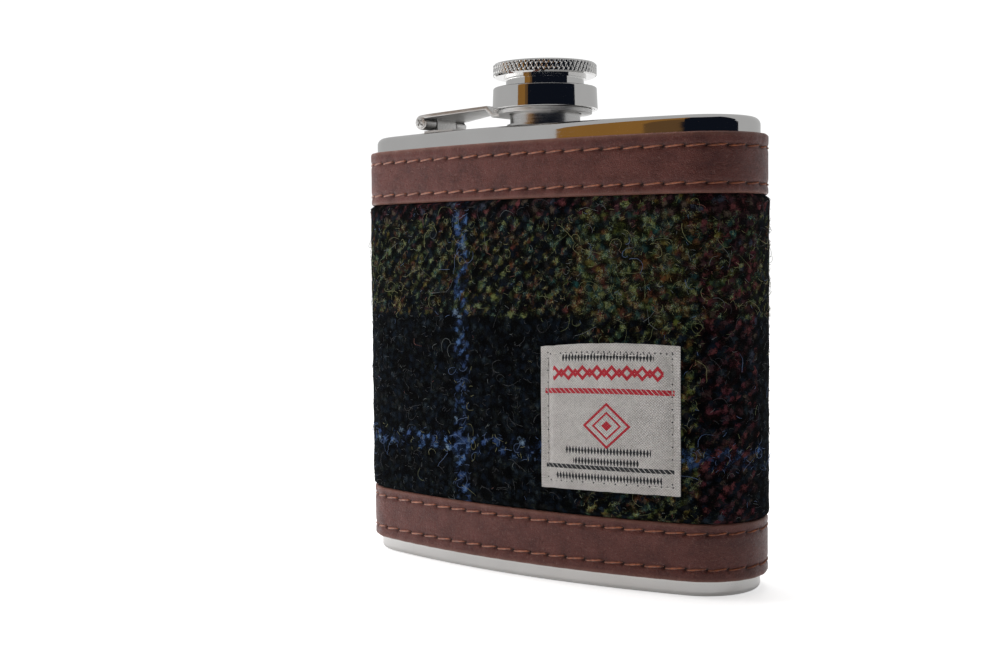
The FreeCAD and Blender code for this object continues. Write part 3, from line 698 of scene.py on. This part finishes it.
def tweedMaterial(spec, colours):
    made, tree = newMaterial("woolTweed", Roughness=1.0, Sheen_Weight=0.02, Sheen_Roughness=0.4,
                             Specular_IOR_Level=0.03)
    place = clothPlace(tree)
    loose = jitter(place, 0.5, 2.0, spec["wander"])
    furry = jitter(loose, 2.4, 4.0, spec["furriness"])
    x, z = split(furry)[:2]
    # each cell is one felted crossing of the yarns
    cells = join("ShaderNodeTexVoronoi", {"Vector": furry, "Scale": 1 / spec["crossing"]}).node.outputs
    pick, other = split(cells["Color"], "ShaderNodeSeparateColor")[:2]
    # twill: warp shows on half of each diagonal, weft on the other half
    diagonal = calc("FRACT", calc("DIVIDE", minus(x, z), spec["twill"]))
    lean = plus(apart(diagonal, 0.5), times(other, spec["felting"]))
    middle = 0.25 + spec["felting"] / 2
    warpShows = fitRange(lean, middle - 0.05, middle + 0.05)
    shares = {key: mixValue(warpShows, stripe(z, spec[key + "Up"], spec["repeatUp"]),
                            stripe(x, spec[key + "Along"], spec["repeatAlong"]))
              for key in ("olive", "wine", "blue")}
    wool = {key: ramp(pick, stops, "CONSTANT") for key, stops in colours.items()}
    # the olive's mixture also drifts softly from place to place
    blobs = split(grain(furry, 0.42, 3.0, 0.6, out=1), "ShaderNodeSeparateColor")
    under = (0.009, 0.010, 0.012)
    for blob, start, stop, tone in zip(blobs, (0.47, 0.53, 0.52), (0.56, 0.59, 0.59),
                                       ((0.050, 0.060, 0.014), (0.096, 0.030, 0.014), (0.010, 0.043, 0.042))):
        under = blendColour(fitRange(blob, start, stop), under, tone)
    wool["olive"] = scaled(blendColour(0.5, wool["olive"], under), spec["oliveTone"])
    colour = wool["ground"]
    for key, share in shares.items():
        colour = blendColour(share, colour, wool[key])
    # curly hairs lie where a stretched noise crosses its middle value; their light colour is partly the
    # fibres' own and partly painted highlight where loose hairs catch the light
    for scale, hairColour in ((0.9, (0.33, 0.37, 0.13)), (1.5, (0.19, 0.29, 0.25))):
        moved = join("ShaderNodeVectorMath", (loose, (7.3 * scale, 2.1, 0)), operation="ADD")
        away = apart(grain(moved, scale, 3.0, 0.55, distortion=1.2), 0.5)
        line = fitRange(away, 0.004, 0.018, 1.0, 0.0)
        lit = times(mixValue(shares["olive"], 0.05, 0.60),
                    fitRange(grain(place, 0.4), 0.42, 0.6))
        colour = blendColour(times(line, lit), colour, hairColour)
    # painted shade: the colour is darkened in the hollows between the felted crossings, and the fuzz noise
    # adds random tone
    hollow = fitRange(cells["Distance"], 0.18, 0.75, 1.0, 0.0)
    relief = plus(times(hollow, 0.35), grain(place, 3.6, 5.0, 0.8))
    paintedShadeAndTone = fitRange(relief, 0.50, 0.98, 0.08, 2.6, False)
    return finish(made, scaled(colour, paintedShadeAndTone), relief, 0.9, 0.0004)


def makeTweed(spec):
    length = girth(spec["proud"])
    left, right = -length / 2 + spec["seam"], length / 2 - spec["seam"]

    def outer(along, height):
        fromEdge = min(height - lowerBandTop, upperBandFoot - height)
        if fromEdge < 0:
            return spec["tuckProud"]
        proud = spec["proud"] + noise.noise(Vector((along, 0, height)) * 420) * spec["lump"]
        if fromEdge < spec["roll"]:
            part = 1 - fromEdge / spec["roll"]
            return proud - spec["rollDeep"] * (1 - math.sqrt(max(0.0, 1 - part ** 2)))
        return proud + spec["swell"] * math.exp(-(fromEdge - spec["roll"]) / spec["swellReach"])

    bm = wrappedSheet(spec["across"], spec["up"], left, right, tweedLow.z, tweedHigh.z,
                      outer, lambda along, height: spec["inner"], spec["proud"])
    piece = toObject(bm, "tweed_cloth", "flask", tweedMaterial(spec, woolColours))
    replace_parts(piece, "tweed_sleeve")


makeTweed(tweedSpec)
print("tweed done")

# leather bands and their stitching
leatherSpec = {
    "columnsPerStitch": 10, "rows": 36, "proud": 1.5 * mm, "inner": 0.40 * mm, "overTuck": 0.74 * mm,
    "stitchCount": 52, "edgeRound": 0.5 * mm, "edgeDeep": 0.28 * mm,
    "grooveWide": 0.55 * mm, "grooveDeep": 0.20 * mm, "holeWide": 0.36 * mm, "holeDeep": 0.42 * mm,
    "pucker": 0.06 * mm, "puckerReach": 2.2 * mm, "lump": 0.05 * mm, "seam": 0.15 * mm,
    "edgeWearAndHighlight": 0.9 * mm, "holeShade": 0.38 * mm,
}
stitchSpec = {"length": 4.0 * mm, "width": 0.42 * mm, "lift": -0.08 * mm, "tilt": 0.11, "dip": 0.35 * mm}
backSeamSpec = {"aside": 1.6 * mm, "step": 2.2 * mm, "length": 1.7 * mm, "width": 0.5 * mm, "lift": 0.12 * mm}


def leatherMaterial():
    made, tree = newMaterial("brownLeather", Specular_IOR_Level=0.38, Coat_Weight=0.12, Coat_Roughness=0.3)
    place = clothPlace(tree)
    base = ramp(grain(place, 0.22, 4.0, 0.6), [
        (0.3, (0.080, 0.018, 0.015)), (0.52, (0.130, 0.035, 0.027)), (0.75, (0.172, 0.052, 0.042))])
    pores = join("ShaderNodeTexVoronoi", {"Vector": place, "Scale": 2.6}, feature="DISTANCE_TO_EDGE")
    # the light specks are partly worn grain and partly painted highlight on the crinkled grain; the dark
    # specks are random mottling
    speck = grain(place, 1.5, 4.0, 0.75)
    worn, hole = split(add(tree, "ShaderNodeAttribute", attribute_name="leatherMarks"),
                       "ShaderNodeSeparateColor")[:2]
    for share, tone in ((fitRange(pores, 0.0, 0.10, 0.35, 0.0), (0.05, 0.016, 0.012)),
                        (fitRange(speck, 0.54, 0.70, 0.0, 0.45), (0.30, 0.15, 0.125)),
                        (fitRange(speck, 0.45, 0.32, 0.0, 0.7), (0.040, 0.009, 0.007)),
                        # a lighter band along both edges: partly wear, partly painted highlight on the
                        # rounded edge
                        (times(worn, 0.65), (0.29, 0.14, 0.105)),
                        # painted shade in and around the sunk stitch holes
                        (hole, (0.012, 0.005, 0.004))):
        base = blendColour(share, base, tone)
    rough = fitRange(grain(place, 1.4, 5.0, 0.7), 0.3, 0.75, 0.30, 0.54)
    folds = times(grain(place, 0.7, 5.0, 0.65), 2.2)
    wrinkle = plus(fitRange(pores, 0.0, 0.16), folds)
    return finish(made, base, wrinkle, 0.6, 0.00018, rough)


def threadMaterial(name, light, dark):
    made, tree = newMaterial(name, Roughness=0.62, Sheen_Weight=0.3)
    where = objectPlace(tree)
    tone = ramp(grain(where, 1400.0, 3.0, 0.6), [(0.35, dark), (0.65, light)])
    return finish(made, tone, grain(where, 6000.0), 0.4, 0.00004)


def stitchInto(bm, place, proud, spec, cut, upright=False):
    # one two-ply stitch: a lobed section swept along, twisted, and dipped into its holes at both ends
    sides, rings = 8, 6
    loopVerts = bmesh.ops.create_circle(bm, segments=sides, radius=1.0, cap_ends=True)["verts"]
    region = [loopVerts[0].link_faces[0]]
    ringVerts = [loopVerts]
    for ring in range(rings):
        grown = bmesh.ops.extrude_face_region(bm, geom=region)["geom"]
        region = [item for item in grown if isinstance(item, bmesh.types.BMFace)]
        ringVerts.append([item for item in grown if isinstance(item, bmesh.types.BMVert)])
    for ring, verts in enumerate(ringVerts):
        part = ring / rings
        run = (part - 0.5) * spec["length"]
        lift = -spec["dip"] * (2 * part - 1) ** 4
        thin = 0.62 + 0.38 * math.sin(math.pi * part) ** 0.5
        for vert in verts:
            angle = math.atan2(vert.co.y, vert.co.x)
            lobe = spec["width"] / 2 * thin * (0.86 + 0.14 * math.cos(2 * (angle - part * math.pi * 2.2)))
            aside, outward = math.cos(angle) * lobe, proud + lift + math.sin(angle) * lobe * 0.8
            along, height = (aside, run) if upright else (run, aside + run * spec["tilt"])
            vert.co = wrap(place[0] + along, outward, place[1] + height, cut)


def makeStitches(node, places, material, proud, spec, cut, upright=()):
    bm = bmesh.new()
    for place in places:
        stitchInto(bm, place, proud, spec, cut)
    for place in upright:
        stitchInto(bm, place, proud, spec, cut, True)
    bmesh.ops.recalc_face_normals(bm, faces=bm.faces)
    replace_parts(toObject(bm, node.replace("_stitches", "_thread"), "flask", material), node)


def makeBand(name, node, rowHeights, spec, material):
    low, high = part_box(node)
    length = girth(spec["proud"])
    pitch = length / spec["stitchCount"]

    def edgeDistance(height):
        return min(height - low.z, high.z - height)

    def holeDistance(along, height):
        offset = (along + pitch / 2) % pitch - pitch / 2
        return min(math.hypot(offset, height - row) for row in rowHeights)

    def outer(along, height):
        fromEdge = edgeDistance(height)
        proud = spec["proud"] + noise.noise(Vector((along, height, 0.01)) * 260) * spec["lump"]
        for row in rowHeights:
            proud -= spec["grooveDeep"] * math.exp(-((height - row) / spec["grooveWide"]) ** 2)
        proud -= spec["holeDeep"] * math.exp(-(holeDistance(along, height) / spec["holeWide"]) ** 2)
        proud += spec["pucker"] * math.cos(2 * math.pi * along / pitch + math.pi) \
            * math.exp(-fromEdge / spec["puckerReach"])
        if fromEdge < spec["edgeRound"]:
            part = 1 - fromEdge / spec["edgeRound"]
            proud -= spec["edgeDeep"] * (1 - math.sqrt(max(0.0, 1 - part ** 2)))
        return proud

    def inner(along, height):
        overLowerTuck = tweedLow.z - 0.1 * mm < height < lowerBandTop + mm
        overUpperTuck = upperBandFoot - mm < height < tweedHigh.z + 0.1 * mm
        return spec["overTuck"] if overLowerTuck or overUpperTuck else spec["inner"]

    end = length / 2 - spec["seam"]
    bm = wrappedSheet(spec["stitchCount"] * spec["columnsPerStitch"], spec["rows"], -end, end, low.z, high.z,
                      outer, inner, spec["proud"])
    marks = bm.loops.layers.float_color.new("leatherMarks")
    uvLayer = bm.loops.layers.uv["clothPlace"]
    for face in bm.faces:
        for loop in face.loops:
            along, height = (value * mm for value in loop[uvLayer].uv)
            # near the edges the colour is lightened, partly wear and partly painted highlight
            worn = max(0.0, 1 - edgeDistance(height) / spec["edgeWearAndHighlight"])
            # painted shade round each stitch hole
            hole = math.exp(-(holeDistance(along, height) / spec["holeShade"]) ** 2)
            loop[marks] = (worn, min(1.0, hole * 1.1), 0, 1)
    piece = toObject(bm, name, "flask", material)
    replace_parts(piece, node)


def rowHeight(node):
    low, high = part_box(node)
    return (low.z + high.z) / 2


leather = leatherMaterial()
rustThread = threadMaterial("rustThread", (0.37, 0.105, 0.036), (0.15, 0.038, 0.015))
outline = girth(leatherSpec["proud"])
seamPlaces = []
for place in ("top", "bottom"):
    rowNodes = [place + "_band_upper_stitches", place + "_band_lower_stitches"]
    heights = [rowHeight(node) for node in rowNodes]
    makeBand(place + "_leather", place + "_leather_band", heights, leatherSpec, leather)
    pitch = outline / leatherSpec["stitchCount"]
    for rowNode, height in zip(rowNodes, heights):
        spots = [((i + 0.5) * pitch, height) for i in range(leatherSpec["stitchCount"])]
        makeStitches(rowNode, spots, rustThread,
                     leatherSpec["proud"] + stitchSpec["lift"], stitchSpec, leatherSpec["proud"])
    middle = sum(heights) / 2
    seamPlaces += [(outline / 2 + side * backSeamSpec["aside"], middle + step * backSeamSpec["step"])
                   for step in (-1, 0, 1) for side in (-1, 1)]
makeStitches("back_seam_stitches", [], rustThread,
             leatherSpec["proud"] + backSeamSpec["lift"], {**stitchSpec, **backSeamSpec},
             leatherSpec["proud"], upright=seamPlaces)
print("leather and stitches done")

# backing cloth under both
backingSpec = {"across": 208, "up": 24, "outer": 0.35 * mm, "inner": 0.03 * mm}


def backingMaterial():
    made, tree = newMaterial("backingCloth", Roughness=0.9)
    weave = add(tree, "ShaderNodeTexWave", {"Vector": clothPlace(tree), "Scale": 1.2, "Distortion": 1.0},
                out=1)
    tone = ramp(weave, [(0.2, (0.05, 0.032, 0.026)), (0.8, (0.13, 0.085, 0.065))])
    return finish(made, tone, weave, 0.5, 0.0001)


def makeBacking(spec):
    low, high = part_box("backing_sleeve")
    length = girth(spec["outer"])
    bm = wrappedSheet(spec["across"], spec["up"], -length / 2, length / 2, low.z, high.z,
                      lambda along, height: spec["outer"], lambda along, height: spec["inner"], spec["outer"])
    piece = toObject(bm, "backing_cloth", "flask", backingMaterial())
    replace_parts(piece, "backing_sleeve")


makeBacking(backingSpec)
print("backing done")

# the label's marks are placed in mm from its lower left corner
labelSpec = {
    "across": 75, "up": 71, "left": 8.0 * mm, "right": 38.1 * mm, "low": 19.8 * mm, "high": 48.5 * mm,
    "lift": 0.10 * mm, "thick": 0.35 * mm, "clear": 0.12 * mm, "wave": 0.16 * mm,
    "topBulge": 0.7 * mm, "skew": 0.35 * mm, "footSkew": 0.1 * mm, "frayed": 0.12 * mm,
    "seamInset": 1.6 * mm, "seamDeep": 0.16 * mm, "seamWide": 0.7 * mm, "threadLift": 0.02 * mm,
    "cloth": (0.61, 0.59, 0.575), "red": (0.50, 0.018, 0.035), "ink": (0.022, 0.026, 0.030),
    "warp": 0.58, "weft": 0.52, "rib": 0.55, "hatch": 0.95,
    "redRule": (1.0, 29.0, 19.2, 20.25), "inkRule": (1.2, 28.9, 4.2, 5.05),      # left, right, low, high
    "braid": (2.9, 26.8), "braidFeet": (21.7, 23.9), "braidPeriod": 3.2, "braidThick": 0.85,
    "lozenge": (14.8, 13.0), "lozengeLines": ((3.9, 4.55), (2.3, 2.8), (-1.0, 1.0)),
    "dotRows": ((26.2, 5.0, 24.8), (8.0, 5.6, 24.2), (5.9, 7.4, 21.6), (2.7, 3.4, 26.4)),   # level, from, to
}
labelStitchSpec = {"length": 2.0 * mm, "width": 0.24 * mm, "pitch": 2.4 * mm, "dip": 0.2 * mm, "tilt": 0.0}


def labelMaterial(spec):
    made, tree = newMaterial("wovenLabel", Roughness=0.78, Sheen_Weight=0.2, Specular_IOR_Level=0.25)
    place = clothPlace(tree)
    along, height = split(place)[:2]
    a = minus(along, spec["left"] / mm)
    b = minus(height, spec["low"] / mm)
    wide, tall = (spec["right"] - spec["left"]) / mm, (spec["high"] - spec["low"]) / mm

    def ribbed(value, period):
        return calc("SINE", times(value, 2 * math.pi / period))

    def between(value, low, high):
        return times(calc("GREATER_THAN", value, low), calc("LESS_THAN", value, high))

    def mark(*shapes):
        made = shapes[0]
        for shape in shapes[1:]:
            made = calc("MAXIMUM", made, shape)
        return made

    def rule(left, right, low, high):
        return times(times(between(b, low, high), between(a, left, right)), hatch)

    slub = plus(grain(place, 1.6, 4.0, 0.75), times(grain(place, 0.3), 0.5))
    weave = times(ribbed(a, spec["warp"]), ribbed(b, spec["weft"]))
    relief = plus(weave, times(slub, 3.2))
    # the cloth's colour follows the relief: painted shade in the low places of the weave and slubs, painted
    # highlight on the high ones, over the slubs' own tone
    cloth = ramp(fitRange(relief, 0.9, 3.9), [
        (0.0, tinted(spec["cloth"], 0.62)), (0.55, spec["cloth"]), (1.0, tinted(spec["cloth"], 1.22))])
    # red marks: a hatched rule, a braid of two zigzags and a lozenge in a lozenge
    diagonal = calc("FRACT", times(plus(a, b), spec["hatch"]))
    hatch = calc("GREATER_THAN", diagonal, 0.16)
    zigzag = calc("PINGPONG", a, spec["braidPeriod"] / 2)
    rising = minus(minus(b, zigzag), spec["braidFeet"][0])
    falling = minus(plus(b, zigzag), spec["braidFeet"][1])
    strands = [between(value, 0.0, spec["braidThick"]) for value in (rising, falling)]
    braid = times(mark(*strands), between(a, *spec["braid"]))
    middle, level = spec["lozenge"]
    lozenge = plus(times(apart(a, middle), 0.88), apart(b, level))
    red = mark(rule(*spec["redRule"]), braid, *(between(lozenge, *line) for line in spec["lozengeLines"]))
    # dark marks: a rule, rows of small lozenges, and the needle holes beside the running stitches
    ink = [rule(*spec["inkRule"])]
    for level, start, stop in spec["dotRows"]:
        beat = minus(calc("PINGPONG", a, 0.7), 0.35)
        shape = plus(times(calc("ABSOLUTE", beat), 1.5),
                     times(apart(b, level), 0.55))
        ink.append(times(calc("LESS_THAN", shape, 0.47), between(a, start, stop)))
    inset = spec["seamInset"] / mm
    for value, other, line, long in ((a, b, inset, tall), (a, b, wide - inset, tall),
                                     (b, a, inset, wide), (b, a, tall - inset, wide)):
        beat = calc("PINGPONG", minus(other, inset), 1.2)
        reach = plus(apart(beat, 0.6), apart(value, line))
        inside = between(other, inset - 0.4, long - inset + 0.4)
        ink.append(times(calc("LESS_THAN", reach, 0.21), inside))
    # the two woven edges are ribbed
    fromSide = minus(wide / 2, apart(a, wide / 2))
    edging = times(ribbed(b, spec["rib"]), fitRange(fromSide, 0.9, 1.5, 0.8, 0.0))
    relief = plus(relief, edging)
    thready = fitRange(relief, 0.9, 2.0, 0.65, 1.0)
    colour = blendColour(times(red, thready), cloth, spec["red"])
    colour = blendColour(times(mark(*ink), thready), colour, spec["ink"])
    return finish(made, colour, relief, 0.6, 0.00011)


def makeLabel(spec, stitch):
    cut = tweedSpec["proud"]
    left, right, low, high = (spec[key] for key in ("left", "right", "low", "high"))

    def face(along, height):
        fromEdge = min(along - left, right - along, height - low, high - height)
        wave = noise.noise(Vector((along, height, 0.3)) * 190) * spec["wave"]
        sewn = -spec["seamDeep"] * math.exp(-((fromEdge - spec["seamInset"]) / spec["seamWide"]) ** 2)
        return cut + spec["lift"] + spec["thick"] + wave + sewn + spec["clear"]

    bm = wrappedSheet(spec["across"], spec["up"], left, right, low, high,
                      face, lambda along, height: face(along, height) - spec["thick"], cut)
    for vert in bm.verts:   # the top edge bulges and the corners sit a little askew
        up = (vert.co.z - low) / (high - low)
        side = (vert.co.x - (left + right) / 2) / ((right - left) / 2)
        vert.co.z += up ** 3 * spec["topBulge"] * (1 - side ** 2) + side * spec["skew"] * up \
            + (1 - up) * side * spec["footSkew"]
        vert.co.z += noise.noise(Vector((vert.co.x * 500, up * 3, 0))) * spec["frayed"] * abs(2 * up - 1) ** 8
    piece = toObject(bm, "label_cloth", "flask", labelMaterial(spec), 50)
    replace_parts(piece, "woven_label")
    white = threadMaterial("whiteThread", (0.72, 0.70, 0.67), (0.5, 0.48, 0.46))
    inset, pitch = spec["seamInset"], stitch["pitch"]
    lines = []      # the places along a side, for the level sides and then the upright ones
    for start, stop in ((left, right), (low, high)):
        count = int((stop - inset - start - inset) / pitch)
        lines.append([start + inset + (i + 0.75) * pitch for i in range(count)])
    places = [(along, height) for along in lines[0] for height in (low + inset, high - inset)]
    upright = [(along, height) for height in lines[1] for along in (left + inset, right - inset)]
    makeStitches("label_stitches", places, white,
                 cut + spec["lift"] + spec["thick"] + spec["threadLift"], stitch, cut, upright)


makeLabel(labelSpec, labelStitchSpec)
print("label done")

# loose wool fibres: long curls and short fuzz, in the colours of the stripe they stand on
fibreSpec = {
    "seed": 11, "long": 720, "short": 3600, "thick": 0.042 * mm,
    "colours": {
        "fibreStraw": (0.27, 0.27, 0.10), "fibreMoss": (0.12, 0.145, 0.04), "fibreBlue": (0.085, 0.16, 0.34),
        "fibreRust": (0.22, 0.06, 0.04), "fibreGrey": (0.13, 0.155, 0.16), "fibreInk": (0.008, 0.011, 0.017),
    },
    "richShares": (30, 34, 5, 9, 16, 6), "darkShares": (1, 1, 2, 1, 5, 90), "blueReach": 2.6,
    "oliveReach": (13, 10.5), "fromBand": 0.6 * mm, "besideLabel": mm, "overLabel": 1.5 * mm,
}


def fibreMaterial(name, colour):
    made, tree = newMaterial(name, Roughness=0.6, Sheen_Weight=0.2)
    tone = grain(objectPlace(tree), 900.0)
    return finish(made, ramp(tone, [(0.3, tinted(colour, 0.7)), (0.7, tinted(colour, 1.2))]))


def inStripes(place, key, reaches):
    for value, run, reach in zip(place, ("Along", "Up"), reaches):
        repeat = tweedSpec["repeat" + run]
        if abs((value / mm - tweedSpec[key + run][0] + repeat / 2) % repeat - repeat / 2) < reach:
            return True
    return False


def fibreKind(draw, place, spec):
    names = list(spec["colours"])
    if inStripes(place, "blue", (spec["blueReach"], spec["blueReach"])):
        return names.index("fibreBlue") if draw.random() < 0.7 else names.index("fibreStraw")
    rich = inStripes(place, "olive", spec["oliveReach"])
    return draw.choices(range(len(names)), spec["richShares" if rich else "darkShares"])[0]


def makeFibres(spec):
    draw = random.Random(spec["seed"])
    curve = bpy.data.curves.new("fibreLines", "CURVE")
    curve.dimensions = "3D"
    curve.bevel_depth = spec["thick"]
    curve.bevel_resolution = 0
    for name, colour in spec["colours"].items():
        curve.materials.append(fibreMaterial(name, colour))
    proud = tweedSpec["proud"]
    half = girth(proud) / 2
    inkKind = list(spec["colours"]).index("fibreInk")
    for number in range(spec["long"] + spec["short"]):
        isLong = number < spec["long"]
        points = draw.randint(7, 13) if isLong else 4
        step = draw.uniform(0.32, 0.62) * mm if isLong else draw.uniform(0.2, 0.42) * mm
        along = draw.uniform(-half, half)
        height = draw.uniform(lowerBandTop + spec["fromBand"], upperBandFoot - spec["fromBand"])
        if labelSpec["left"] - spec["besideLabel"] < along < labelSpec["right"] + spec["besideLabel"] and \
                labelSpec["low"] - spec["besideLabel"] < height < labelSpec["high"] + spec["overLabel"]:
            continue
        kind = fibreKind(draw, (along, height), spec)
        if isLong and kind == inkKind and draw.random() < 0.6:
            continue
        heading = draw.uniform(0, 2 * math.pi)
        curl = draw.uniform(-0.55, 0.55)
        rise = draw.uniform(0.15, 0.75) * mm if isLong else draw.uniform(0.05, 0.45) * mm
        spline = curve.splines.new("POLY")
        spline.points.add(points - 1)
        spline.material_index = kind
        for i, point in enumerate(spline.points):
            part = i / (points - 1)
            lift = math.sin(math.pi * min(1.0, part * (1.0 if isLong else 0.6))) * rise
            point.co = (*wrap(along, proud - 0.05 * mm + lift, height, proud), 1)
            point.radius = 1.0 - 0.4 * part
            heading += curl + draw.uniform(-0.3, 0.3)
            along += math.cos(heading) * step
            height = min(max(height + math.sin(heading) * step, lowerBandTop + spec["fromBand"] / 2),
                         upperBandFoot - spec["fromBand"] / 2)
    holder = intoScene("fibreHolder", curve)
    mesh = bpy.data.meshes.new_from_object(holder.evaluated_get(bpy.context.evaluated_depsgraph_get()))
    bpy.data.objects.remove(holder)
    mesh.name = "tweed_fibres"
    piece = intoScene("tweed_fibres", mesh)
    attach(piece, "flask")
    print("fibres:", len(mesh.polygons), "faces")


makeFibres(fibreSpec)
